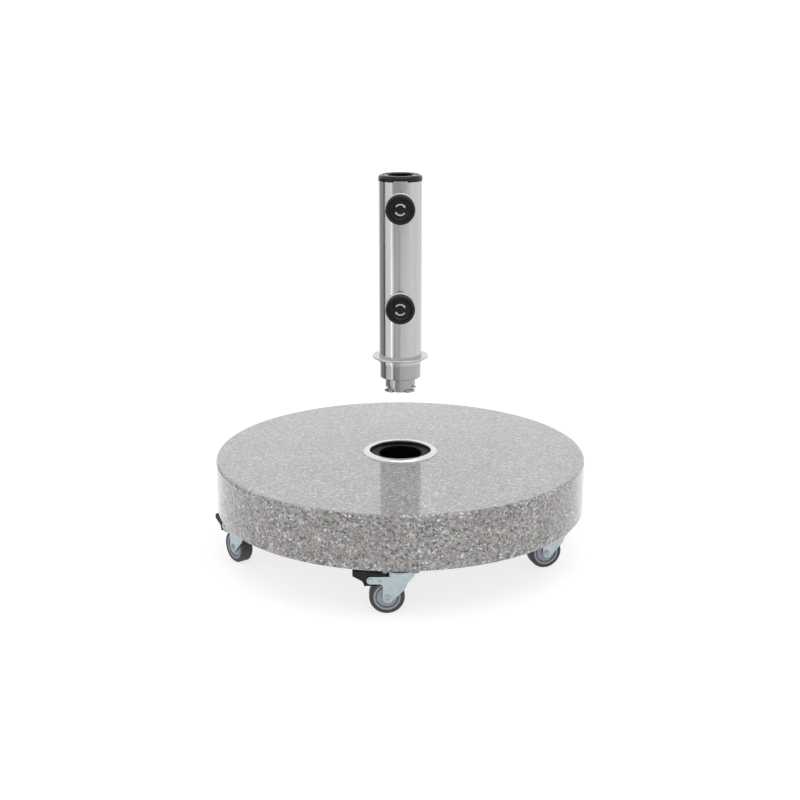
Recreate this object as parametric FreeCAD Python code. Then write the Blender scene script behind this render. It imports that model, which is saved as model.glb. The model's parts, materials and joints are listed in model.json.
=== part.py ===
import FreeCAD, Part
import math
import os

# Parasol base: a round polished granite slab on five braked swivel castors. A stainless stem drops
# into a socket in the slab, locks there with a bayonet and clamps the parasol's pole with two hand
# screws. Millimetres, +Z up, origin on the stem's axis at floor level, -Y towards the knobs.
# The stem stands lifted out of its socket by STEM_LIFT. Every thread is a plain cylinder.

Vector = FreeCAD.Vector
UP = Vector(0, 0, 1)
CENTRE = Vector(0, 0, 0)

# ---- Driving dimensions ----

SLAB_D = 600.0
SLAB_T = 87.0
SLAB_Z = 78.0            # underside of the slab, which is the castors' overall height
SLAB_TOP_ROUND = 4.5
SLAB_BOTTOM_ROUND = 3.0
SLAB_BORE_R = 52.5

CASTER_R = 262.0         # from the slab's axis to each swivel axis
CASTER_AZIMUTHS = (-90.0, -162.0, -18.0, 54.0, 126.0)
CASTER_TRAILS = (182.0, 128.0, 198.0, 300.0, 215.0)   # where each wheel trails to, degrees
TRAIL = 20.0             # swivel axis to axle
WHEEL_R = 26.5
TYRE_W = 21.0
BRAKE_ANGLE = 12.0       # pedal travel, degrees
BRAKE_GAP = 0.35         # between the pedal's cam and the tyre when the brake is on

RING_R = 60.3            # trim ring, outside
RING_CREST_R = 56.0
RING_BORE_R = 51.0
RING_LIP_R = 49.8
RING_T = 4.5
LEDGE_DROP = 6.0         # from the trim ring's top to the ledge that carries the stem's flange

STEM_LIFT = 161.9        # how far the stem stands above its seat
SEAT_GAP = 0.1           # left between flange and ledge when seated
TUBE_R = 34.1
TUBE_WALL = 1.3
TUBE_TOP = 611.0
FLANGE_R = 45.0
FLANGE_T = 3.0
SLEEVE_W = 1.55          # wall of the guide sleeve inside the foot of the tube
SPIGOT_DROP = 32.3       # flange underside to the shoulder of the spigot
NECK_R = 24.2
NECK_DROP = 16.7         # spigot's shoulder to the lowest edge of its neck
CORE_R = 21.6
FOOT_DROP = 22.2         # spigot's shoulder to its foot
LUG_R = 27.0
LUG_T = 3.0
LUG_COUNT = 4
LUG_WIDTH = 40.0         # degrees
LUG_AZIMUTH = -50.0
CLAW_AZIMUTH = -95.0

POLE_R = 19.0
COLLAR_R = 34.75
COLLAR_BORE_R = 19.25
COLLAR_TOP = 616.8
COLLAR_SKIRT = 607.5
COLLAR_SLEEVE = 593.5

KNOB_HEIGHTS = {"lower": 412.6, "upper": 568.2}
KNOB_R = 23.1
CLAMP_TRAVEL = 6.0       # each screw's way out from a pole of POLE_R
BOSS_R = 24.0
SCREW_R = 5.0

FIT = 0.05               # radial clearance of a fit
LOOSE = 0.3              # clearance between other faces that move past each other

# ---- Levels worked out from them ----

SLAB_TOP = SLAB_Z + SLAB_T
RING_TOP = SLAB_TOP + RING_T
LEDGE_Z = RING_TOP - LEDGE_DROP
FLANGE_Z = LEDGE_Z + SEAT_GAP + STEM_LIFT
SHOULDER_Z = FLANGE_Z - SPIGOT_DROP
NECK_Z = SHOULDER_Z - NECK_DROP
FOOT_Z = SHOULDER_Z - FOOT_DROP
LUG_TOP = FOOT_Z + LUG_T
TUBE_IN_R = TUBE_R - TUBE_WALL
SLEEVE_R = TUBE_IN_R - FIT
SLEEVE_IN_R = SLEEVE_R - SLEEVE_W
SPIGOT_HEAD_T = 11.3
PLUG_Z = SHOULDER_Z + SPIGOT_HEAD_T + LOOSE
CLAW_Z = LUG_TOP - STEM_LIFT + LOOSE
CLAW_TOP = NECK_Z - STEM_LIFT - 0.5


# ---- Shape helpers ----

def outline(points):
    """Closed wire in the XZ plane through (x, z) or (x, z, corner radius) points."""
    corners = [(Vector(p[0], 0, p[1]), p[2] if len(p) > 2 else 0) for p in points]
    turns = []
    for i, (here, radius) in enumerate(corners):
        back = (corners[i - 1][0] - here).normalize()
        on = (corners[(i + 1) % len(corners)][0] - here).normalize()
        if radius:
            half = back.getAngle(on) / 2
            reach = radius / math.tan(half)
            middle = here + (back + on).normalize() * (radius / math.sin(half) - radius)
            turns.append((here + back * reach, middle, here + on * reach))
        else:
            turns.append((here, None, here))
    edges = []
    for i, (start, middle, end) in enumerate(turns):
        if middle:
            edges.append(Part.Arc(start, middle, end).toShape())
        following = turns[(i + 1) % len(turns)][0]
        edges.append(Part.makeLine(end, following))
    return Part.Wire(edges)


def lathe(points):
    """Solid turned about Z from (radius, height[, corner radius]) points."""
    return Part.Face(outline(points)).revolve(CENTRE, UP, 360)


def tube(inner, outer, low, high):
    return lathe([(inner, low), (outer, low), (outer, high), (inner, high)])


def rod(radius, low, high, x=0.0, y=0.0):
    return Part.makeCylinder(radius, high - low, Vector(x, y, low))


def slice_y(points, low, high):
    """Solid between two Y values from an outline of (x, z[, corner radius]) points."""
    solid = Part.Face(outline(points)).extrude(Vector(0, high - low, 0))
    solid.translate(Vector(0, low, 0))
    return solid


def rod_y(radius, x, z, low, high):
    return Part.makeCylinder(radius, high - low, Vector(x, low, z), Vector(0, 1, 0))


def hexagon(across_flats, low, high):
    radius = across_flats / math.sqrt(3)
    corners = [polar(radius, 60 * i, low) for i in range(6)]
    return Part.Face(Part.makePolygon(corners + corners[:1])).extrude(UP * (high - low))


def sector(inner, outer, low, high, azimuth, width):
    """Part of a tube, centred on an azimuth."""
    size = high - low
    base = Vector(0, 0, low)
    wedge = Part.makeCylinder(outer, size, base, UP, width)
    solid = wedge.cut(Part.makeCylinder(inner, size, base))
    solid.rotate(CENTRE, UP, azimuth - width / 2)
    return solid


def polar(radius, azimuth, z=0.0):
    angle = math.radians(azimuth)
    return Vector(radius * math.cos(angle), radius * math.sin(angle), z)


def around(count, first=0.0):
    return [first + 360.0 / count * i for i in range(count)]


def turned_about_y(solid):
    """A lathe's Z axis laid along +Y."""
    solid.rotate(CENTRE, Vector(1, 0, 0), -90)
    return solid


def save(name, *solids):
    shape = solids[0] if len(solids) == 1 else Part.makeCompound(list(solids))
    shape.exportStep("parts/" + name + ".step")


# ---- Fasteners under the slab ----

M6_R = 3.0
M6_HEAD_T = 4.0
M6_HEAD_AF = 10.0
M6_HOLE_R = 3.3
INSERT_R = 5.0
INSERT_LENGTH = 17.0
INSERT_SET = 0.5         # set in below the granite's face
M6_LENGTH = 21.0
INSERT_HOLE_DEPTH = 20.0

PLATE_SIZE = 60.0
PLATE_T = 2.5
PLATE_Z = SLAB_Z - PLATE_T
PLATE_BOLT = 22.5        # from the plate's centre to each bolt, along and across

COVER_R = 70.0
COVER_T = 3.0
COVER_Z = SLAB_Z - COVER_T
COVER_SCREW_R = 62.0
COVER_SCREWS = 4


def plate_bolt_points():
    """Where the castor plates' bolts go up into the slab."""
    points = []
    for azimuth in CASTER_AZIMUTHS:
        for along in (-PLATE_BOLT, PLATE_BOLT):
            for across in (-PLATE_BOLT, PLATE_BOLT):
                point = Vector(CASTER_R + along, across, 0)
                points.append(FreeCAD.Rotation(UP, azimuth).multVec(point))
    return points


def cover_screw_points():
    return [polar(COVER_SCREW_R, azimuth) for azimuth in around(COVER_SCREWS, 45)]


def hex_bolt(point, face_z):
    """M6 hexagon bolt with its head under face_z."""
    bolt = hexagon(M6_HEAD_AF, face_z - M6_HEAD_T, face_z).fuse(rod(M6_R, face_z, face_z + M6_LENGTH))
    bolt.translate(point)
    return bolt


def threaded_insert(point):
    low = SLAB_Z + INSERT_SET
    insert = tube(M6_R + FIT, INSERT_R, low, low + INSERT_LENGTH)
    insert.translate(point)
    return insert


# ---- Slab and socket ----

def granite_slab():
    r = SLAB_D / 2
    slab = lathe([
        (SLAB_BORE_R, SLAB_Z), (r, SLAB_Z, SLAB_BOTTOM_ROUND),
        (r, SLAB_TOP, SLAB_TOP_ROUND), (SLAB_BORE_R, SLAB_TOP)])
    points = plate_bolt_points() + cover_screw_points()
    holes = [rod(INSERT_R + FIT, SLAB_Z, SLAB_Z + INSERT_HOLE_DEPTH, p.x, p.y) for p in points]
    return slab.cut(holes)


def socket_trim_ring():
    """Domed ring on the slab, with a sleeve down into its bore and a lip over the liner."""
    sleeve_r = SLAB_BORE_R - LOOSE
    return lathe([
        (RING_BORE_R, SLAB_TOP - 13), (sleeve_r, SLAB_TOP - 13), (sleeve_r, SLAB_TOP),
        (RING_R, SLAB_TOP), (RING_R, SLAB_TOP + 1.2, 0.8), (RING_CREST_R, RING_TOP, 7.0),
        (RING_LIP_R, RING_TOP, 2.5), (RING_LIP_R, SLAB_TOP + LOOSE), (RING_BORE_R, SLAB_TOP + LOOSE)])


LINER_R = RING_BORE_R - 0.2
LINER_LIP_R = 48.6       # inside of the upstand round the ledge
LINER_WALL = 2.6
GUIDE_R = 34.5           # bore that guides the tube
THROAT_R = LUG_R + 0.6   # bore that the lugs drop through
THROAT_TOP = SHOULDER_Z - STEM_LIFT - 1.0
BOSS_WALL_R = 41.0
GUIDE_WALL_R = 37.5
CLAW_SCREW_R = 34.5
CLAW_SCREWS_AT = 0.0
M4_R = 2.0


def socket_liner():
    """Plastic cup: a ledge for the flange, a bore for the tube and a throat for the lugs."""
    inside = LINER_R - LINER_WALL
    liner = lathe([
        (LINER_R, SLAB_Z), (LINER_R, SLAB_TOP, 0.3), (LINER_LIP_R, SLAB_TOP, 0.6), (LINER_LIP_R, LEDGE_Z),
        (GUIDE_R + 1.4, LEDGE_Z), (GUIDE_R, LEDGE_Z - 1.4),
        (GUIDE_R, THROAT_TOP), (THROAT_R, THROAT_TOP, 1.0), (THROAT_R, CLAW_TOP), (BOSS_WALL_R, CLAW_TOP),
        (BOSS_WALL_R, THROAT_TOP + 3, 2.0), (GUIDE_WALL_R, THROAT_TOP + 6), (GUIDE_WALL_R, LEDGE_Z - 5, 2.0),
        (inside, LEDGE_Z - 5, 2.0), (inside, SLAB_Z)])
    holes = [rod(M4_R + FIT, CLAW_TOP, CLAW_TOP + 11, p.x, p.y) for p in claw_screw_points()]
    return liner.cut(holes)


def claw_screw_points():
    return [polar(CLAW_SCREW_R, azimuth) for azimuth in around(LUG_COUNT, CLAW_SCREWS_AT)]


RING_LOW = CLAW_TOP - 5.6


def bayonet_ring():
    """Steel ring under the throat, with a claw for each gap between the spigot's lugs."""
    ring = tube(THROAT_R, BOSS_WALL_R - 1, RING_LOW, CLAW_TOP)
    claws = [sector(CORE_R + 0.5, THROAT_R + 2, CLAW_Z, CLAW_TOP, azimuth, LUG_WIDTH)
             for azimuth in around(LUG_COUNT, CLAW_AZIMUTH)]
    holes = [rod(M4_R + 0.2, RING_LOW, CLAW_TOP, p.x, p.y) for p in claw_screw_points()]
    return ring.fuse(claws).cut(holes).removeSplitter()


def bayonet_screw(point):
    screw = lathe([(0, RING_LOW - 2.4), (3.6, RING_LOW - 2.4, 1.0), (3.6, RING_LOW), (M4_R, RING_LOW),
                   (M4_R, CLAW_TOP + 10), (0, CLAW_TOP + 10)])
    screw.translate(point)
    return screw


def socket_bottom_plate():
    plate = tube(8, COVER_R, COVER_Z, SLAB_Z)
    return plate.cut([rod(M6_HOLE_R, COVER_Z, SLAB_Z, p.x, p.y) for p in cover_screw_points()])


# ---- Stem ----

def stem_tube():
    pipe = tube(TUBE_IN_R, TUBE_R, FLANGE_Z - 8, TUBE_TOP)
    holes = [rod_y(HUB_R + 0.1, 0, z, -TUBE_R - 2, 0) for z in KNOB_HEIGHTS.values()]
    return pipe.cut(holes)


def guide_sleeve():
    """Inner tube that shows below the stem tube and slides in the liner."""
    sleeve = lathe([(SLEEVE_IN_R, SHOULDER_Z), (SLEEVE_R, SHOULDER_Z, 1.0),
                    (SLEEVE_R, FLANGE_Z + 32), (SLEEVE_IN_R, FLANGE_Z + 32)])
    return sleeve.cut(spigot_rivets(RIVET_R + FIT, SLEEVE_R + 1))


RIVET_R = 1.5
RIVET_COUNT = 8
RIVET_Z = SHOULDER_Z + 5.3


def spigot_rivets(radius, reach):
    """Radial pins through the guide sleeve into the spigot."""
    start = 25.0
    pins = []
    for azimuth in around(RIVET_COUNT, -100):
        pins.append(Part.makeCylinder(radius, reach - start, polar(start, azimuth, RIVET_Z), polar(1, azimuth)))
    return pins


def bayonet_spigot():
    """Turned foot of the stem: a head inside the sleeve, a ramped neck and four lugs."""
    bore = 17.0
    head = tube(bore, SLEEVE_IN_R - FIT, SHOULDER_Z, SHOULDER_Z + SPIGOT_HEAD_T)
    head = head.cut(spigot_rivets(RIVET_R + FIT, SLEEVE_R))
    core = tube(bore, CORE_R, FOOT_Z, SHOULDER_Z)
    neck = tube(CORE_R, NECK_R, NECK_Z, SHOULDER_Z).cut(neck_ramps())
    lugs = [sector(CORE_R - 1, LUG_R, FOOT_Z, LUG_TOP, azimuth, LUG_WIDTH)
            for azimuth in around(LUG_COUNT, LUG_AZIMUTH)]
    return head.fuse([core, neck] + lugs).removeSplitter()


def neck_ramps():
    """Cutters that give the neck its saw-tooth lower edge, one long ramp over each lug."""
    rise = 4.6
    below = NECK_Z - 0.1
    ramps = []
    for azimuth in around(LUG_COUNT, LUG_AZIMUTH - 12):
        ramp = slice_y([(-13.9, below), (15.6, below), (11.8, NECK_Z + rise)], -NECK_R - 2, -CORE_R * 0.7)
        ramp.rotate(CENTRE, UP, azimuth + 90)
        ramps.append(ramp)
    return ramps


def flange_ring():
    return lathe([(TUBE_R + FIT, FLANGE_Z), (FLANGE_R, FLANGE_Z, 0.8), (FLANGE_R, FLANGE_Z + FLANGE_T, 1.4),
                  (TUBE_R + FIT, FLANGE_Z + FLANGE_T)])


def top_collar():
    """Black cap that centres the pole: stepped rings on top, a sleeve in the tube, a thin skirt outside."""
    collar = lathe([
        (COLLAR_BORE_R, COLLAR_SLEEVE), (TUBE_IN_R - FIT, COLLAR_SLEEVE, 0.8), (TUBE_IN_R - FIT, TUBE_TOP),
        (TUBE_R + FIT, TUBE_TOP), (TUBE_R + FIT, COLLAR_SKIRT), (COLLAR_R, COLLAR_SKIRT),
        (COLLAR_R, COLLAR_TOP, 5.0), (28.6, COLLAR_TOP, 0.6), (28.0, COLLAR_TOP - 1.3),
        (25.8, COLLAR_TOP - 1.3), (25.2, COLLAR_TOP - 0.5), (23.6, COLLAR_TOP - 0.5, 0.4),
        (23.0, COLLAR_TOP - 1.5), (COLLAR_BORE_R, COLLAR_TOP - 1.5)])
    notch = sector(TUBE_R, COLLAR_R + 1, COLLAR_SKIRT, COLLAR_SKIRT + 2.1, -90, 38)
    return collar.cut(notch)


def pole_rest_plug():
    top = PLUG_Z + 12
    return lathe([(6, PLUG_Z), (SLEEVE_IN_R - 0.4, PLUG_Z, 1.0), (SLEEVE_IN_R - 0.4, top, 1.0),
                  (POLE_R + 1.6, top), (POLE_R + 0.6, top - 1), (POLE_R + 0.6, PLUG_Z + 6), (6, PLUG_Z + 6)])


# ---- Clamp screws, drawn home against the pole, along Z and then turned to point at -Y ----

HUB_R = 9.0
HUB_IN = 31.7            # distances from the stem's axis
BOSS_FACE = 38.0
PAD_FACE = POLE_R + 0.1
PAD_BACK = PAD_FACE + 5.0
PIN_R = 3.2
KNOB_BACK = BOSS_FACE + 1.0
KNOB_FRONT = KNOB_BACK + 15.0
CAP_BACK = KNOB_BACK + 8.5
HEX_AF = 17.0
HEX_T = 7.0


def to_clamp(solid, z):
    solid.rotate(CENTRE, Vector(1, 0, 0), 90)
    solid.translate(Vector(0, 0, z))
    return solid


def clamp_boss(z):
    """Round boss on the tube, saddle-cut, with the threaded hub that passes through the wall."""
    skin = lathe([(HUB_R - 1, BOSS_FACE), (BOSS_R, BOSS_FACE, 1.5), (BOSS_R, 18), (BOSS_R - 2, 18),
                  (BOSS_R - 2, BOSS_FACE - 3), (HUB_R - 1, BOSS_FACE - 3)])
    boss = to_clamp(skin, z).cut(rod(TUBE_R + FIT, z - 40, z + 40))
    return boss.fuse(to_clamp(tube(SCREW_R + FIT, HUB_R, HUB_IN, BOSS_FACE), z)).removeSplitter()


def clamp_pad(z):
    pad = lathe([(0, PAD_FACE), (HUB_R, PAD_FACE, 0.8), (HUB_R, PAD_BACK, 0.8), (PIN_R + 0.08, PAD_BACK),
                 (PIN_R + 0.08, PAD_FACE + 1.6), (0, PAD_FACE + 1.6)])
    return to_clamp(pad, z)


def clamp_screw(z):
    head_z = CAP_BACK - 0.1 - HEX_T
    shank = lathe([(0, PAD_FACE + 1.9), (PIN_R, PAD_FACE + 1.9), (PIN_R, PAD_BACK + LOOSE),
                   (SCREW_R, PAD_BACK + LOOSE, 0.5), (SCREW_R, head_z), (0, head_z)])
    return to_clamp(shank.fuse(hexagon(HEX_AF, head_z, head_z + HEX_T)), z)


def clamp_knob(z):
    """Round hand knob that widens towards a raised rim, with a pocket for its cap."""
    pocket_r = 17.8
    knob = lathe([(SCREW_R + FIT, KNOB_BACK), (19.6, KNOB_BACK, 1.5), (KNOB_R, KNOB_FRONT - 4.5, 2.5),
                  (KNOB_R, KNOB_FRONT - 0.4, 3.2), (18.6, KNOB_FRONT, 0.8), (pocket_r, KNOB_FRONT - 2.4),
                  (pocket_r, CAP_BACK), (SCREW_R + FIT, CAP_BACK)])
    pocket = hexagon(HEX_AF + 0.2, CAP_BACK - 0.1 - HEX_T, CAP_BACK + 1)
    return to_clamp(knob.cut(pocket), z)


def knob_cap(z):
    cap = lathe([(0, CAP_BACK), (17.7, CAP_BACK), (17.7, CAP_BACK + 4.0, 0.7), (15.2, CAP_BACK + 3.6, 0.6),
                 (13.9, CAP_BACK + 2.2, 1.0), (0, CAP_BACK + 2.6)])
    return to_clamp(cap, z)


# ---- Castors, drawn with the swivel axis on Z and the wheel trailing along +X ----

FORK_IN = 11.0           # half the gap between the fork's sides
FORK_OUT = 13.0
FORK_BACK = 17.3         # where the crown is cut off to make room for the pedal
FORK_TOP = 70.0
CROWN_T = 2.5
CROWN_R = 21.5
SKIRT_Z = 61.5
KINGPIN_R = 5.0
AXLE_R = 3.0
AXLE_BOSS_R = 8.0
AXLE_BOSS_X = TRAIL - 1.5    # the sides' round ends reach a little ahead of the axle
PIVOT_X = 44.5
PIVOT_Z = 54.3
ARM_R = 5.7
PEDAL_PIN_R = 2.25
RACE_Z = FORK_TOP + LOOSE
CUP_Z = 73.0
RACE_R = 17.2


def boss_tangent(point):
    """Where a line from a point on the leading side meets the round end at the axle."""
    away = math.atan2(point[1] - WHEEL_R, point[0] - AXLE_BOSS_X)
    distance = math.hypot(point[0] - AXLE_BOSS_X, point[1] - WHEEL_R)
    angle = away + math.acos(AXLE_BOSS_R / distance)
    return AXLE_BOSS_X + AXLE_BOSS_R * math.cos(angle), WHEEL_R + AXLE_BOSS_R * math.sin(angle)


def fork_side(low, high):
    knee = (-6.5, 40.0, 10)
    boss_end = AXLE_BOSS_X + AXLE_BOSS_R
    points = [(-21, FORK_TOP), (-21, 61.0, 4), (-11, 50.8, 12), knee, boss_tangent(knee),
              (AXLE_BOSS_X, WHEEL_R), (boss_end, WHEEL_R), (boss_end - 0.3, PIVOT_Z - ARM_R - 0.2, 5),
              (PIVOT_X, PIVOT_Z - ARM_R), (PIVOT_X, PIVOT_Z + ARM_R), (12, PIVOT_Z + ARM_R, 1.5),
              (FORK_BACK, 66.0, 2), (FORK_BACK, FORK_TOP)]
    rounds = [rod_y(AXLE_BOSS_R, AXLE_BOSS_X, WHEEL_R, low, high), rod_y(ARM_R, PIVOT_X, PIVOT_Z, low, high)]
    return slice_y(points, low, high).fuse(rounds)


def fork():
    """Pressed fork: a crown with a deep skirt, two sides, and two arms that carry the pedal."""
    crown = lathe([(KINGPIN_R + FIT, FORK_TOP - CROWN_T), (CROWN_R - 2.2, FORK_TOP - CROWN_T, 1),
                   (CROWN_R - 2.2, SKIRT_Z), (CROWN_R, SKIRT_Z), (CROWN_R, FORK_TOP, 2.5),
                   (KINGPIN_R + FIT, FORK_TOP)])
    behind = Part.makeBox(20, 60, FORK_TOP - SKIRT_Z, Vector(FORK_BACK, -30, SKIRT_Z))
    body = crown.cut(behind).fuse([fork_side(FORK_IN, FORK_OUT), fork_side(-FORK_OUT, -FORK_IN)])
    pivot = rod_y(PEDAL_PIN_R + FIT, PIVOT_X, PIVOT_Z, -20, 20)
    axle = rod_y(AXLE_R + FIT, TRAIL, WHEEL_R, -20, 20)
    stop_hole = rod_y(2.0, 29.9, 54.2, -20, 20)
    return body.cut([pivot, axle, stop_hole]).removeSplitter()


def axle_bolt():
    """Domed bolt across the fork."""
    bolt = lathe([(0, -17), (AXLE_R, -17), (AXLE_R, FORK_OUT), (5.3, FORK_OUT), (5.3, FORK_OUT + 1.2, 0.5),
                  (3.7, FORK_OUT + 1.4), (3.4, FORK_OUT + 2.9, 0.8), (1.5, FORK_OUT + 2.9),
                  (1.2, FORK_OUT + 1.9), (0, FORK_OUT + 1.9)])
    return at_axle(bolt)


def axle_nut():
    nut = hexagon(10, -FORK_OUT - 5, -FORK_OUT).cut(rod(AXLE_R + FIT, -FORK_OUT - 5, -FORK_OUT))
    return at_axle(nut)


def at_axle(solid):
    turned_about_y(solid).translate(Vector(TRAIL, 0, WHEEL_R))
    return solid


TYRE_IN_R = 20.3


def wheel_core():
    face = [(3.05, 10.6), (6.5, 10.6, 0.5), (7.2, 9.0), (14.9, 8.6, 0.5), (15.3, 6.2), (16.9, 6.2),
            (17.4, 9.8, 0.4), (TYRE_IN_R - FIT, 9.8)]
    other = [(p[0], -p[1]) + p[2:] for p in reversed(face)]
    return at_axle(lathe(face + other))


def tyre():
    half = TYRE_W / 2
    return at_axle(lathe([(TYRE_IN_R, -half + 0.4), (WHEEL_R - 2.4, -half, 0.8), (WHEEL_R, -half + 2.6, 2.4),
                          (WHEEL_R, half - 2.6, 2.4), (WHEEL_R - 2.4, half, 0.8), (TYRE_IN_R, half - 0.4)]))


def pedal_pin():
    pin = lathe([(0, -14.3), (3.0, -14.3, 0.6), (3.6, -FORK_OUT - FIT), (PEDAL_PIN_R, -FORK_OUT - FIT),
                 (PEDAL_PIN_R, FORK_OUT + FIT), (3.6, FORK_OUT + FIT), (3.0, 14.3, 0.6), (0, 14.3)])
    turned_about_y(pin).translate(Vector(PIVOT_X, 0, PIVOT_Z))
    return pin


def cam_tip():
    """Lowest point of the pedal's cam at rest: it meets the tyre when the pedal is down."""
    to_wheel = math.atan2(WHEEL_R - PIVOT_Z, TRAIL - PIVOT_X)
    reach = math.hypot(WHEEL_R - PIVOT_Z, TRAIL - PIVOT_X) - WHEEL_R - BRAKE_GAP
    angle = to_wheel + math.radians(BRAKE_ANGLE)
    return PIVOT_X + reach * math.cos(angle), PIVOT_Z + reach * math.sin(angle)


def brake_pedal():
    """Foot pedal: a wide paddle past and above the fork's arms, and a cam between them."""
    wide = 12.5
    narrow = FORK_IN - 0.6
    paddle = slice_y([
        (20.5, 61.0, 1), (46.8, 61.0, 2.5), (51.4, 57.0, 2), (51.4, 45.4), (53.0, 45.2, 0.8), (56.6, 53.4, 3),
        (71.0, 61.6, 2), (71.0, 69.2, 1.5), (64.5, 68.4, 6), (48, 67.2, 8), (24, 63.8, 2), (20.5, 62.4)],
        -wide, wide)
    cam = slice_y([
        (24, 62), (22.8, 59.5, 1), (36.5, 52.5, 3), cam_tip(), (42.5, 44.8, 0.8), (52.8, 45.2, 0.8),
        (57, 56), (60, 62)], -narrow, narrow)
    treads = [rod_y(1.1, x, z, -wide + 2, wide - 2) for x, z in ((53.5, 68.3), (57.5, 68.6), (61.5, 68.9))]
    pedal = paddle.fuse(cam).cut([rod_y(PEDAL_PIN_R + 0.07, PIVOT_X, PIVOT_Z, -20, 20)] + treads)
    return pedal.removeSplitter()


def kingpin():
    head_top = FORK_TOP - CROWN_T - LOOSE
    return lathe([(0, head_top - 3.8), (9, head_top - 3.8, 1.5), (9, head_top), (KINGPIN_R, head_top),
                  (KINGPIN_R, SLAB_Z - 0.2), (0, SLAB_Z - 0.2)])


def swivel_race():
    return tube(KINGPIN_R + FIT, RACE_R, RACE_Z, CUP_Z)


def caster_plate():
    half = PLATE_SIZE / 2
    plate = Part.makeBox(PLATE_SIZE, PLATE_SIZE, PLATE_T, Vector(-half, -half, PLATE_Z))
    upright = [e for e in plate.Edges if abs(e.tangentAt(0).z) > 0.9]
    plate = plate.makeFillet(6, upright).fuse(rod(RACE_R + 0.8, CUP_Z, PLATE_Z))
    holes = [rod(M6_HOLE_R, PLATE_Z, SLAB_Z, x, y)
             for x in (-PLATE_BOLT, PLATE_BOLT) for y in (-PLATE_BOLT, PLATE_BOLT)]
    return plate.cut(holes + [rod(KINGPIN_R + FIT, CUP_Z, SLAB_Z)])


def placed(solid, index, turn):
    """A castor's piece set under the slab, turned about its swivel axis."""
    solid.rotate(CENTRE, UP, turn)
    solid.translate(polar(CASTER_R, CASTER_AZIMUTHS[index]))
    return solid


# ---- Write every node ----

def write_slab_and_socket():
    save("granite_slab", granite_slab())
    save("socket_trim_ring", socket_trim_ring())
    save("socket_liner", socket_liner())
    save("bayonet_ring", bayonet_ring())
    save("bayonet_screws", *[bayonet_screw(p) for p in claw_screw_points()])
    save("socket_bottom_plate", socket_bottom_plate())
    save("bottom_plate_screws", *[hex_bolt(p, COVER_Z) for p in cover_screw_points()])
    save("slab_inserts", *[threaded_insert(p) for p in plate_bolt_points() + cover_screw_points()])
    save("caster_bolts", *[hex_bolt(p, PLATE_Z) for p in plate_bolt_points()])
    indexes = range(len(CASTER_AZIMUTHS))
    save("caster_plates", *[placed(caster_plate(), i, CASTER_AZIMUTHS[i]) for i in indexes])
    save("kingpins", *[placed(kingpin(), i, 0) for i in indexes])
    save("swivel_races", *[placed(swivel_race(), i, 0) for i in indexes])


def write_stem():
    save("pole_rest_plug", pole_rest_plug())
    save("stem_tube", stem_tube())
    save("guide_sleeve", guide_sleeve())
    save("bayonet_spigot", bayonet_spigot())
    save("spigot_rivets", *spigot_rivets(RIVET_R, SLEEVE_R - 0.35))
    save("flange_ring", flange_ring())
    save("top_collar", top_collar())
    save("clamp_bosses", *[clamp_boss(z) for z in KNOB_HEIGHTS.values()])
    for place, z in KNOB_HEIGHTS.items():
        save(place + "_clamp_pad", clamp_pad(z))
        save(place + "_clamp_screw", clamp_screw(z))
        save(place + "_knob", clamp_knob(z))
        save(place + "_knob_cap", knob_cap(z))


def write_casters():
    for i, trail in enumerate(CASTER_TRAILS):
        name = "caster_%d_" % (i + 1)
        save(name + "fork", placed(fork(), i, trail))
        save(name + "axle", placed(axle_bolt(), i, trail), placed(axle_nut(), i, trail))
        save(name + "wheel_core", placed(wheel_core(), i, trail))
        save(name + "tyre", placed(tyre(), i, trail))
        save(name + "brake_pedal", placed(brake_pedal(), i, trail))
        save(name + "pedal_pin", placed(pedal_pin(), i, trail))


os.makedirs("parts", exist_ok=True)
write_slab_and_socket()
write_stem()
write_casters()
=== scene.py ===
import json
import math

import bmesh
import bpy
from mathutils import Matrix, Vector


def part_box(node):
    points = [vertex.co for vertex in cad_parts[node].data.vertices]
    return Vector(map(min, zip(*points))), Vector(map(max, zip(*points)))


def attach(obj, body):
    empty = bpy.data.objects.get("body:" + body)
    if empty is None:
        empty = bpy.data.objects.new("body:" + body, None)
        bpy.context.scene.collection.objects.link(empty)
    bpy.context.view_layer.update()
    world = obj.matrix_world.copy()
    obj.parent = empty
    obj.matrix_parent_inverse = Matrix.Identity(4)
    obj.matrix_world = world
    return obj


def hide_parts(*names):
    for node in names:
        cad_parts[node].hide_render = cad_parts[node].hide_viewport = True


# Looks of the parasol base: a procedural material for every CAD node, clamp screws with real threads,
# cap arrows, castor stop rivets, a white studio and the camera. Metres, +Z up, -Y towards the knobs.

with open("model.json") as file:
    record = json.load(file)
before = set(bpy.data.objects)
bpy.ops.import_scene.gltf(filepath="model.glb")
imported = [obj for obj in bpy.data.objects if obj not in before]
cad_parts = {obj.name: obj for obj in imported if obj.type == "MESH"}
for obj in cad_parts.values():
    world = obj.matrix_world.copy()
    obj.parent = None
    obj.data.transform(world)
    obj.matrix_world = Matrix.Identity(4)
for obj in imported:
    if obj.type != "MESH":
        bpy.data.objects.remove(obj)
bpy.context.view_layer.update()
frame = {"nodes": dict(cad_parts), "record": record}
MM = 0.001
KNOBS = ("lower", "upper")
SLAB_LOW, SLAB_HIGH = (corner.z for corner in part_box("granite_slab"))
FACE_DEPTH = 0.7 * MM    # how near to a flat face of the slab its finish reaches
JOINTS = {joint["name"]: joint for joint in frame["record"]["behaviour"]["joints"]}


# ---- Material helpers ----

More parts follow.
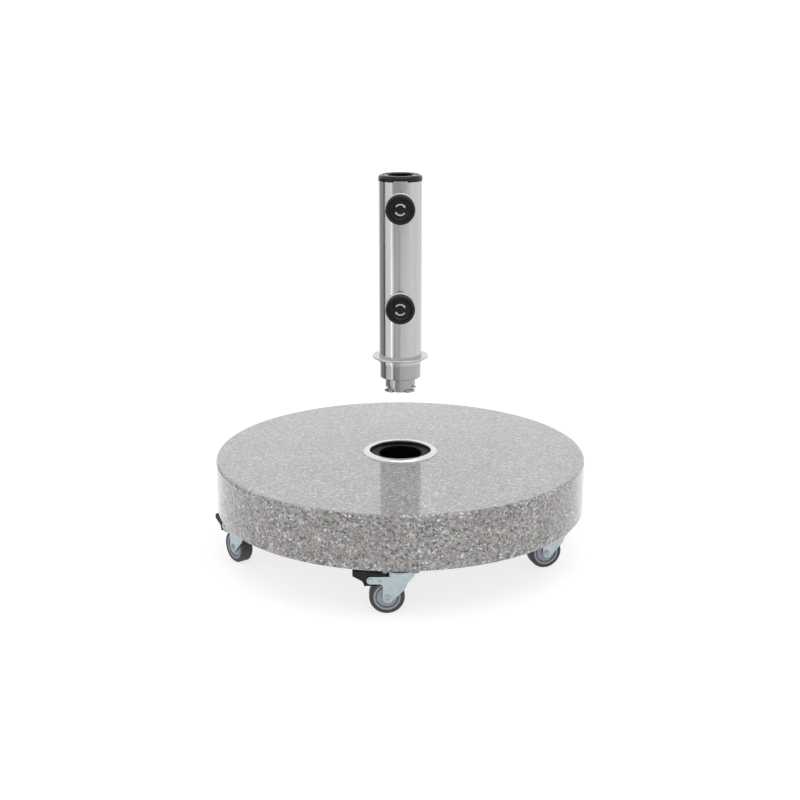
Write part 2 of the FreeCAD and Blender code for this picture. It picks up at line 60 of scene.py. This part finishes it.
class Surface:
    """One material: a Principled shader and the texture nodes that feed it."""

    def __init__(self, name, **constants):
        self.material = bpy.data.materials.new(name)
        self.material.use_nodes = True
        self.tree = self.material.node_tree
        self.shader = next(n for n in self.tree.nodes if n.type == "BSDF_PRINCIPLED")
        for socket, value in constants.items():
            self.shader.inputs[socket.replace("_", " ")].default_value = value
        self.place = self.node("TexCoord").outputs["Object"]

    def node(self, kind, inputs=None, **settings):
        made = self.tree.nodes.new("ShaderNode" + kind)
        for key, value in settings.items():
            setattr(made, key, value)
        for key, value in (inputs or {}).items():
            self.feed(made.inputs[key], value)
        return made

    def feed(self, socket, value):
        if isinstance(value, bpy.types.NodeSocket):
            self.tree.links.new(value, socket)
        else:
            socket.default_value = value

    def to(self, socket, value):
        self.feed(self.shader.inputs[socket], value)
        return self

    def stretched(self, scale):
        """Object coordinates scaled per axis, for grain that runs one way."""
        return self.node("Mapping", {"Vector": self.place, "Scale": scale}).outputs["Vector"]

    def noise(self, scale, detail=2.0, where=None, roughness=0.5):
        return self.node("TexNoise", {"Vector": where or self.place, "Scale": scale, "Detail": detail,
                                      "Roughness": roughness}).outputs["Fac"]

    def spread(self, value, low, high, start=0.3, end=0.7):
        """A 0 to 1 texture value mapped to a range."""
        return self.node("MapRange", {"Value": value, "From Min": start, "From Max": end,
                                      "To Min": low, "To Max": high}).outputs["Result"]

    def ramp(self, value, stops, blend="LINEAR"):
        made = self.node("ValToRGB", {"Fac": value})
        made.color_ramp.interpolation = blend
        elements = made.color_ramp.elements
        while len(elements) < len(stops):
            elements.new(1.0)
        for element, (position, colour) in zip(elements, stops):
            element.position = position
            element.color = (*colour, 1.0)
        return made.outputs["Color"]

    def mix(self, amount, first, second, blend="MIX"):
        made = self.node("Mix", data_type="RGBA", blend_type=blend)
        self.feed(made.inputs[0], amount)
        self.feed(made.inputs[6], first)
        self.feed(made.inputs[7], second)
        return made.outputs[2]

    def math(self, operation, first, second=0.0):
        made = self.node("Math", operation=operation)
        self.feed(made.inputs[0], first)
        self.feed(made.inputs[1], second)
        return made.outputs[0]

    def bump(self, height, distance, strength=1.0):
        made = self.node("Bump", {"Height": height, "Distance": distance, "Strength": strength})
        return self.to("Normal", made.outputs["Normal"])


def grey(value):
    return (value, value, value)


# ---- Materials, one per slot ----

def granite():
    """Polished granite: 2 to 4 mm grains of quartz, feldspar and mica, with small dark flecks."""
    s = Surface("granite", IOR=1.5, Coat_Weight=0.55, Coat_Roughness=0.06)
    warp = s.node("TexNoise", {"Vector": s.place, "Scale": 420.0, "Detail": 2.0}).outputs["Color"]
    shift = s.node("VectorMath", {0: warp, 1: (0.5, 0.5, 0.5)}, operation="SUBTRACT").outputs[0]
    shift = s.node("VectorMath", {0: shift, "Scale": 0.0030}, operation="SCALE").outputs[0]
    where = s.node("VectorMath", {0: s.place, 1: shift}, operation="ADD").outputs[0]
    grains = s.node("TexVoronoi", {"Vector": where, "Scale": 330.0, "Randomness": 1.0})
    split = s.node("SeparateColor", {"Color": grains.outputs["Color"]})
    kinds = s.ramp(split.outputs["Red"], [
        (0.00, (0.045, 0.043, 0.044)), (0.10, (0.105, 0.104, 0.103)), (0.24, (0.190, 0.186, 0.180)),
        (0.46, (0.270, 0.225, 0.218)), (0.60, (0.225, 0.238, 0.210)), (0.70, (0.310, 0.298, 0.288)),
        (0.86, (0.420, 0.408, 0.395)), (0.95, (0.560, 0.550, 0.540))], "CONSTANT")
    shade = s.spread(split.outputs["Green"], 0.82, 1.15, 0.0, 1.0)
    shades = s.node("CombineColor", {"Red": shade, "Green": shade, "Blue": shade}).outputs[0]
    kinds = s.mix(1.0, kinds, shades, "MULTIPLY")
    flecks = s.node("TexVoronoi", {"Vector": where, "Scale": 760.0, "Randomness": 1.0})
    fleck = s.node("SeparateColor", {"Color": flecks.outputs["Color"]})
    flecked = s.ramp(fleck.outputs["Red"], [
        (0.00, (0.060, 0.057, 0.057)), (0.16, (0.215, 0.203, 0.197)),
        (0.80, (0.400, 0.390, 0.380))], "CONSTANT")
    mask = s.math("GREATER_THAN", fleck.outputs["Green"], 0.66)
    colour = s.mix(s.math("MULTIPLY", mask, 0.85), kinds, flecked)
    height = s.node("SeparateXYZ", {"Vector": s.place}).outputs["Z"]
    top = s.math("GREATER_THAN", height, SLAB_HIGH - FACE_DEPTH)
    mean_colour = (0.228, 0.221, 0.215, 1.0)
    colour = s.mix(s.math("MULTIPLY", top, 0.30), colour, mean_colour)
    drift = s.ramp(s.noise(9.0, 3.0), [(0.35, (0.94, 0.93, 0.93)), (0.65, (1.05, 1.05, 1.05))])
    s.to("Base Color", s.mix(1.0, colour, drift, "MULTIPLY"))
    polish = s.spread(s.noise(300.0, 2.0), 0.10, 0.17)
    sawn = s.math("LESS_THAN", height, SLAB_LOW + FACE_DEPTH)
    s.to("Roughness", s.math("ADD", polish, s.math("MULTIPLY", sawn, 0.5)))
    s.bump(grains.outputs["Distance"], 0.00002, 0.35)
    return s.material


def brushed_steel(name="brushed_steel", tone=1.0):
    """Stainless tube, brushed lengthwise: fine lines along its axis."""
    s = Surface(name, Metallic=1.0)
    lines = s.noise(1.0, 3.0, s.stretched((900.0, 900.0, 14.0)), 0.6)
    smears = s.noise(11.0, 3.0)
    dark, light = [tuple(tone * c for c in colour)
                   for colour in ((0.475, 0.472, 0.466), (0.545, 0.541, 0.534))]
    s.to("Base Color", s.ramp(lines, [(0.3, dark), (0.7, light)]))
    s.to("Roughness", s.math("ADD", s.spread(lines, 0.12, 0.20), s.spread(smears, -0.02, 0.04)))
    s.bump(lines, 0.000012, 0.5)
    return s.material


def polished_steel():
    s = Surface("polished_steel", Metallic=1.0)
    lines = s.noise(1.0, 3.0, s.stretched((900.0, 900.0, 500.0)), 0.6)
    s.to("Base Color", s.ramp(lines, [(0.3, (0.62, 0.616, 0.608)), (0.7, (0.69, 0.686, 0.677))]))
    s.to("Roughness", s.math("ADD", s.spread(lines, 0.16, 0.26), s.spread(s.noise(14.0), -0.02, 0.04)))
    s.bump(lines, 0.00001, 0.5)
    return s.material


def cast_steel():
    s = Surface("cast_steel", Metallic=1.0)
    grain = s.noise(620.0, 4.0, None, 0.65)
    s.to("Base Color", s.ramp(grain, [(0.3, (0.325, 0.31, 0.30)), (0.7, (0.425, 0.41, 0.395))]))
    s.to("Roughness", s.spread(grain, 0.15, 0.28))
    s.bump(grain, 0.00003, 0.5)
    return s.material


def zinc_steel():
    """Blue-white zinc plating over pressed steel, with faint clouding."""
    s = Surface("zinc_steel", Metallic=1.0)
    clouds = s.noise(70.0, 4.0, None, 0.6)
    grain = s.noise(900.0, 3.0)
    s.to("Base Color", s.ramp(clouds, [
        (0.3, (0.37, 0.430, 0.455)), (0.55, (0.44, 0.510, 0.530)), (0.75, (0.50, 0.545, 0.555))]))
    s.to("Roughness", s.math("ADD", s.spread(clouds, 0.30, 0.40), s.spread(grain, -0.03, 0.05)))
    s.bump(s.math("ADD", grain, s.math("MULTIPLY", clouds, 2.0)), 0.00002, 0.4)
    return s.material


def plated_steel(name="plated_steel", tint=(1.0, 1.0, 1.0)):
    s = Surface(name, Metallic=1.0)
    clouds = s.noise(160.0, 4.0, None, 0.6)
    dark, light = [tuple(a * b for a, b in zip(tint, colour))
                   for colour in ((0.52, 0.54, 0.55), (0.66, 0.68, 0.69))]
    s.to("Base Color", s.ramp(clouds, [(0.3, dark), (0.7, light)]))
    s.to("Roughness", s.spread(clouds, 0.20, 0.34))
    s.bump(clouds, 0.00002, 0.4)
    return s.material


def brass():
    s = Surface("brass", Metallic=1.0)
    clouds = s.noise(200.0, 4.0, None, 0.6)
    s.to("Base Color", s.ramp(clouds, [(0.3, (0.42, 0.28, 0.10)), (0.7, (0.60, 0.43, 0.18))]))
    s.to("Roughness", s.spread(clouds, 0.24, 0.40))
    s.bump(clouds, 0.00002, 0.4)
    return s.material


def moulded(name, low, high, gloss, grain=1400.0, depth=0.00003, mottle=60.0, shine=0.5):
    """Injection moulding: a fine spark-eroded grain and a slight change of tone across it."""
    s = Surface(name, Specular_IOR_Level=shine)
    fine = s.noise(grain, 2.0)
    broad = s.noise(mottle, 3.0)
    s.to("Base Color", s.ramp(broad, [(0.3, low), (0.7, high)]))
    s.to("Roughness", s.math("ADD", s.spread(fine, *gloss), s.spread(broad, -0.03, 0.03)))
    s.bump(fine, depth, 0.5)
    return s.material


def tyre():
    """Grey rubber, with fine moulding lines and dusty patches."""
    s = Surface("tyre")
    fine = s.noise(1100.0, 3.0, None, 0.6)
    dust = s.noise(130.0, 4.0, None, 0.65)
    s.to("Base Color", s.ramp(dust, [(0.3, (0.020, 0.021, 0.023)), (0.7, (0.040, 0.041, 0.044))]))
    s.to("Roughness", s.math("ADD", s.spread(fine, 0.50, 0.66), s.spread(dust, -0.04, 0.08)))
    s.bump(fine, 0.00005, 0.6)
    return s.material


SLOTS = {
    "granite": granite(),
    "brushed_steel": brushed_steel(),
    "polished_steel": polished_steel(),
    "cast_steel": cast_steel(),
    "zinc_steel": zinc_steel(),
    "plated_steel": plated_steel(),
    "brass": brass(),
    "black_gloss_plastic": moulded("black_gloss_plastic", grey(0.004), (0.006, 0.006, 0.007), (0.12, 0.20),
                                   900.0, 0.00001, shine=0.28),
    "black_plastic": moulded("black_plastic", grey(0.006), (0.009, 0.009, 0.010), (0.26, 0.38), shine=0.25),
    "pedal_plastic": moulded("pedal_plastic", (0.005, 0.006, 0.006), (0.009, 0.010, 0.010), (0.40, 0.54),
                             1000.0, 0.00005, shine=0.26),
    "wheel_plastic": moulded("wheel_plastic", (0.205, 0.225, 0.260), (0.255, 0.275, 0.315), (0.36, 0.48)),
    "tyre": tyre(),
    "nylon": moulded("nylon", (0.66, 0.65, 0.60), (0.74, 0.73, 0.69), (0.38, 0.50)),
}
PRINT = moulded("pale_print", (0.36, 0.38, 0.42), (0.42, 0.44, 0.48), (0.34, 0.46))

# Nodes whose finish differs from their slot's.
# Painted shade: the castor plates and their bolts sit under the slab, and a darker steel stands in for the
# shade that falls on them there.
PAINTED_SHADE_PLATE = plated_steel("painted_shade_plate_steel", grey(0.38))
AXLE = plated_steel("axle_steel", (0.62, 0.70, 0.76))
RIVET = plated_steel("stop_rivet_steel", (0.56, 0.62, 0.62))
OWN = {
    "guide_sleeve": brushed_steel("sleeve_steel", 0.75),
    "flange_ring": brushed_steel("flange_steel", 0.96),
    "clamp_bosses": SLOTS["brushed_steel"],
    "spigot_rivets": plated_steel("rivet_steel", grey(0.66)),
    "caster_bolts": PAINTED_SHADE_PLATE,
    "caster_plates": PAINTED_SHADE_PLATE,
    "top_collar": moulded("collar_plastic", grey(0.0022), grey(0.0036), (0.07, 0.13), 900.0, 0.00001,
                          shine=0.28),
    "socket_liner": moulded("liner_plastic", grey(0.0020), grey(0.0032), (0.30, 0.42), shine=0.04),
}

for part in frame["record"]["subparts"]:
    node = frame["nodes"][part["node"]]
    node.data.materials.clear()
    own = AXLE if part["node"].endswith("_axle") else OWN.get(part["node"])
    node.data.materials.append(own or SLOTS[part["material_slot"]])


# ---- Mesh helpers ----

def piece(name, mesh, material, body, smooth=30.0):
    """A finished mesh as an object that rides on a CAD body."""
    data = bpy.data.meshes.new(name)
    bmesh.ops.recalc_face_normals(mesh, faces=mesh.faces)
    mesh.to_mesh(data)
    mesh.free()
    data.materials.append(material)
    made = bpy.data.objects.new(name, data)
    bpy.context.scene.collection.objects.link(made)
    data.shade_smooth()
    data.set_sharp_from_angle(angle=math.radians(smooth))
    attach(made, body)
    return made


def rings(mesh, rows):
    """Joins equal rows of points, each a closed ring, into one skin and returns the vertex rows."""
    loops = [[mesh.verts.new(p) for p in row] for row in rows]
    for first, second in zip(loops, loops[1:]):
        count = len(first)
        for i in range(count):
            j = (i + 1) % count
            mesh.faces.new((first[i], first[j], second[j], second[i]))
    return loops


def ring_row(radius, level, count, turn=0.0):
    """Points of a circle; radius may be a function of the angle."""
    points = []
    for i in range(count):
        angle = 2 * math.pi * i / count + turn
        r = radius(angle) if callable(radius) else radius
        points.append((r * math.cos(angle), r * math.sin(angle), level))
    return points


# ---- Clamp screws with their threads ----

THREAD_PITCH = 1.5 * MM
THREAD_ROOT = 4.30 * MM
THREAD_CREST = 4.97 * MM
THREAD_STEPS = 8         # rows of points to a turn
AROUND = 48


def thread_radius(level):
    """Radius about the axis at one level of the thread: a flat root, a flat crest and two flanks."""
    def radius(angle):
        phase = (level / THREAD_PITCH - angle / (2 * math.pi)) % 1.0
        rise = min(1.0, max(0.0, 2.4 * (1 - abs(2 * phase - 1)) - 0.7))
        return THREAD_ROOT + (THREAD_CREST - THREAD_ROOT) * rise
    return radius


def hex_radius(flats):
    """Radius of a hexagon's outline by angle."""
    def radius(angle):
        return flats / 2 / math.cos((angle % (math.pi / 3)) - math.pi / 6)
    return radius


def clamp_screw(place):
    """The clamp's screw: a pin for its pad, a real thread and a hexagon head inside the knob."""
    low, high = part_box(place + "_clamp_screw")
    reach = high.y - low.y
    nose = 3.2 * MM
    nose_end = 3.4 * MM
    head = reach - 7.0 * MM
    flats = 17.0 * MM    # across the hexagon head's flats
    rows = [ring_row(nose * 0.85, 0, AROUND), ring_row(nose, 0.4 * MM, AROUND),
            ring_row(nose, nose_end, AROUND), ring_row(THREAD_ROOT, nose_end, AROUND)]
    steps = int((head - nose_end) / THREAD_PITCH * THREAD_STEPS) - 1
    for i in range(1, steps):
        level = nose_end + i * THREAD_PITCH / THREAD_STEPS
        rows.append(ring_row(thread_radius(level), level, AROUND))
    rows += [ring_row(THREAD_ROOT, head - 0.2 * MM, AROUND), ring_row(THREAD_ROOT, head, AROUND),
             ring_row(flats / 2, head, AROUND), ring_row(hex_radius(flats), head + 0.8 * MM, AROUND),
             ring_row(hex_radius(flats), reach - 0.8 * MM, AROUND), ring_row(flats / 2, reach, AROUND)]
    mesh = bmesh.new()
    loops = rings(mesh, rows)
    mesh.faces.new(loops[0])
    mesh.faces.new(loops[-1])
    centre = (low.z + high.z) / 2
    outward = Matrix.Translation((0, high.y, centre)) @ Matrix.Rotation(math.radians(90), 4, "X")
    mesh.transform(outward)
    made = piece(place + "_threaded_screw", mesh, SLOTS["plated_steel"], place + "_screw")
    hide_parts(place + "_clamp_screw")
    return made


# ---- Knob caps: plain turning arrows ----

CAP_FACE_DEPTH = 1.4 * MM    # from the front of the cap's rim back to the middle of its domed face
ARROW_RISE = 0.3 * MM        # each side of that level

def arrow_outline(radius, width, start, sweep, head):
    """Closed outline of an arc with an arrow head at its end, in the XY plane."""
    steps = 28
    outer, inner = [], []
    for i in range(steps + 1):
        angle = start + sweep * i / steps
        outer.append((angle, radius + width / 2))
        inner.append((angle, radius - width / 2))
    end = start + sweep
    tip = end + math.copysign(head / radius, sweep)
    points = outer + [(end, radius + head * 0.62), (tip, radius), (end, radius - head * 0.62)] + inner[::-1]
    return [(r * math.cos(a), r * math.sin(a)) for a, r in points]


def cap_arrows(place):
    """Two arrows round the cap's middle, raised a little, that show the knob turns."""
    low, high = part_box(place + "_knob_cap")
    centre = (low.z + high.z) / 2
    face = -(low.y + CAP_FACE_DEPTH)
    mesh = bmesh.new()
    for start in (35.0, 215.0):
        outline = arrow_outline(8.2 * MM, 2.0 * MM, math.radians(start), math.radians(100.0), 3.6 * MM)
        bottom = [mesh.verts.new((x, -y, face - ARROW_RISE)) for x, y in outline]
        top = [mesh.verts.new((x, -y, face + ARROW_RISE)) for x, y in outline]
        mesh.faces.new(bottom)
        mesh.faces.new(top)
        for i in range(len(outline)):
            j = (i + 1) % len(outline)
            mesh.faces.new((bottom[i], bottom[j], top[j], top[i]))
    outward = Matrix.Translation((0, 0, centre)) @ Matrix.Rotation(math.radians(90), 4, "X")
    mesh.transform(outward)
    return piece(place + "_cap_arrows", mesh, PRINT, place + "_screw")


for place in KNOBS:
    clamp_screw(place)
    cap_arrows(place)


# ---- Castor stop rivets: round-headed pins in the fork's sides that stop the pedal ----

STOP_REACH = 29.9 * MM   # from the swivel axis towards the pedal's pivot
STOP_LEVEL = 54.2 * MM
RIVET_STEPS = 24
# Radius and distance from the fork's middle, in mm; the fork's sides run from 11 to 13 mm.
RIVET_PROFILE = ((1.85, 11.2), (1.85, 13.03), (2.5, 13.03), (2.45, 13.35), (1.8, 13.68), (0.7, 13.85))


def stop_rivets(caster):
    """The pair of rivets in one fork, one in each side."""
    swivel = Vector(JOINTS[caster + "_swivel"]["pos_m"])
    pivot = Vector(JOINTS[caster + "_brake"]["pos_m"])
    across = Vector(JOINTS[caster + "_brake"]["axis"])
    along = pivot - swivel
    along.z = 0.0
    along.normalize()
    place = Vector((swivel.x, swivel.y, STOP_LEVEL)) + STOP_REACH * along
    mesh = bmesh.new()
    for side in (-1, 1):
        rows = []
        for radius, reach in RIVET_PROFILE:
            centre = place + side * reach * MM * across
            rows.append([centre + Matrix.Rotation(2 * math.pi * i / RIVET_STEPS, 3, across)
                         @ (radius * MM * along) for i in range(RIVET_STEPS)])
        loops = rings(mesh, rows)
        mesh.faces.new(loops[0])
        mesh.faces.new(loops[-1])
    return piece(caster + "_stop_rivets", mesh, RIVET, caster + "_fork")


CASTERS = [name[:-len("_swivel")] for name in JOINTS if name.endswith("_swivel")]
for caster in CASTERS:
    stop_rivets(caster)


# ---- Studio ----

def plain(name, colour, emission, strength):
    """Stage material: a matt colour that may also glow."""
    material = bpy.data.materials.new(name)
    material.use_nodes = True
    shader = next(n for n in material.node_tree.nodes if n.type == "BSDF_PRINCIPLED")
    shader.inputs["Base Color"].default_value = (*grey(colour), 1)
    shader.inputs["Roughness"].default_value = 1.0
    shader.inputs["Specular IOR Level"].default_value = 0.0
    shader.inputs["Emission Color"].default_value = (*grey(emission), 1)
    shader.inputs["Emission Strength"].default_value = strength
    return material


def staged(name, mesh, material):
    data = bpy.data.meshes.new(name)
    mesh.to_mesh(data)
    mesh.free()
    data.materials.append(material)
    made = bpy.data.objects.new(name, data)
    bpy.context.scene.collection.objects.link(made)
    return made


CARD_LEVEL = 2 * MM


def card(name, first, last, level, near=0.75, far=12.0):
    """Flat card on the floor, a sector of a ring, that only reflections see.

    Upright faces mirror it and the slab's top can't. Angles are degrees to the right of the camera's side.
    """
    mesh = bmesh.new()
    steps = max(2, int(abs(last - first) / 3))
    columns = []
    for i in range(steps + 1):
        angle = math.radians(first + (last - first) * i / steps)
        x, y = math.sin(angle), -math.cos(angle)
        columns.append([mesh.verts.new((x * reach, y * reach, CARD_LEVEL)) for reach in (near, far)])
    for (a, b), (c, d) in zip(columns, columns[1:]):
        mesh.faces.new((a, b, d, c))
    made = staged(name, mesh, plain(name, 0.0, level, 1.0))
    only_reflections(made)
    return made


def only_reflections(made):
    made.visible_camera = False
    made.visible_diffuse = False
    made.visible_transmission = False
    made.visible_volume_scatter = False
    made.visible_shadow = False


FLOOR_SIZE = 40.0
floor_mesh = bmesh.new()
bmesh.ops.create_grid(floor_mesh, x_segments=8, y_segments=8, size=FLOOR_SIZE)
staged("floor", floor_mesh, plain("floor", 0.28, 1.0, 0.75))

FOOT_END = 1.29          # the stem's foot mirrors the floor nearer than this
LINE_END = 4.05          # the part below the collar mirrors the floor nearer than this
card("card_back_grey", -135.7, -125.6, 0.28)
card("card_left_grey", -125.6, -100.9, 0.42)
card("card_left_dark", -100.9, -87.7, 0.05)
card("card_left_bright", -50.3, -44.7, 2.6, far=LINE_END)
card("card_front_left_foot", -41.6, -22.3, 0.38, far=FOOT_END)
card("card_front_foot", -22.3, -3.0, 0.56, far=FOOT_END)
card("card_front_far", -40.6, -26.4, 0.62, near=FOOT_END, far=LINE_END)
card("card_front_middle", -26.4, -9.1, 0.74, near=FOOT_END, far=LINE_END)
card("card_front_near", -9.1, 1.0, 0.60, near=FOOT_END, far=LINE_END)
for i, level in enumerate((0.92, 0.97, 1.02, 1.06, 1.06, 1.05)):
    card("card_right_%d" % i, 1.0 + 16.2 * i, 17.2 + 16.2 * i, level, far=LINE_END)
COLLAR_EDGES = (-44.7, 12.0, 30.5, 42.6, 54.8)
for i, level in enumerate((0.40, 0.47, 0.68, 0.85)):
    card("card_collar_%d" % i, COLLAR_EDGES[i], COLLAR_EDGES[i + 1], level, near=LINE_END)

# A glowing cylinder where the wall of the seated stem's tube would be, seen only in reflections: a painted
# reflection of that tube across the slab's top.
SEATED_R = 33.0 * MM
SEATED_MIDDLE = 0.2185
SEATED_HEIGHT = 0.100
seated_mesh = bmesh.new()
bmesh.ops.create_cone(seated_mesh, segments=64, radius1=SEATED_R, radius2=SEATED_R, depth=SEATED_HEIGHT,
                      matrix=Matrix.Translation((0, 0, SEATED_MIDDLE)))
only_reflections(staged("painted_stem_reflection", seated_mesh, plain("painted_stem_reflection", 0.0, 0.50, 1.0)))

world = bpy.data.worlds.new("white_room")
bpy.context.scene.world = world
world.use_nodes = True
background = next(n for n in world.node_tree.nodes if n.type == "BACKGROUND")
background.inputs["Color"].default_value = (0.97, 0.98, 1.0, 1.0)
background.inputs["Strength"].default_value = 1.20


def soft_light(name, at, aim, size, power):
    light = bpy.data.lights.new(name, "AREA")
    light.shape = "DISK"
    light.size = size
    light.energy = power
    made = bpy.data.objects.new(name, light)
    made.location = at
    made.rotation_euler = (Vector(aim) - Vector(at)).to_track_quat("-Z", "Y").to_euler()
    bpy.context.scene.collection.objects.link(made)
    return made


soft_light("soft_top", (0.4, -0.5, 2.6), (0, 0, 0.15), 2.2, 13.0)
bpy.context.scene.view_settings.view_transform = "Standard"

CAMERA_AT = (-0.0005, -2.1526, 0.8589)
CAMERA_TILT = 15.73      # degrees below level
camera = bpy.data.cameras.new("camera")
camera.sensor_width = 36.0
camera.lens = 61.96
camera.clip_end = 200.0
viewpoint = bpy.data.objects.new("camera", camera)
viewpoint.location = CAMERA_AT
viewpoint.rotation_euler = (math.radians(90 - CAMERA_TILT), 0, 0)
bpy.context.scene.collection.objects.link(viewpoint)
bpy.context.scene.camera = viewpoint
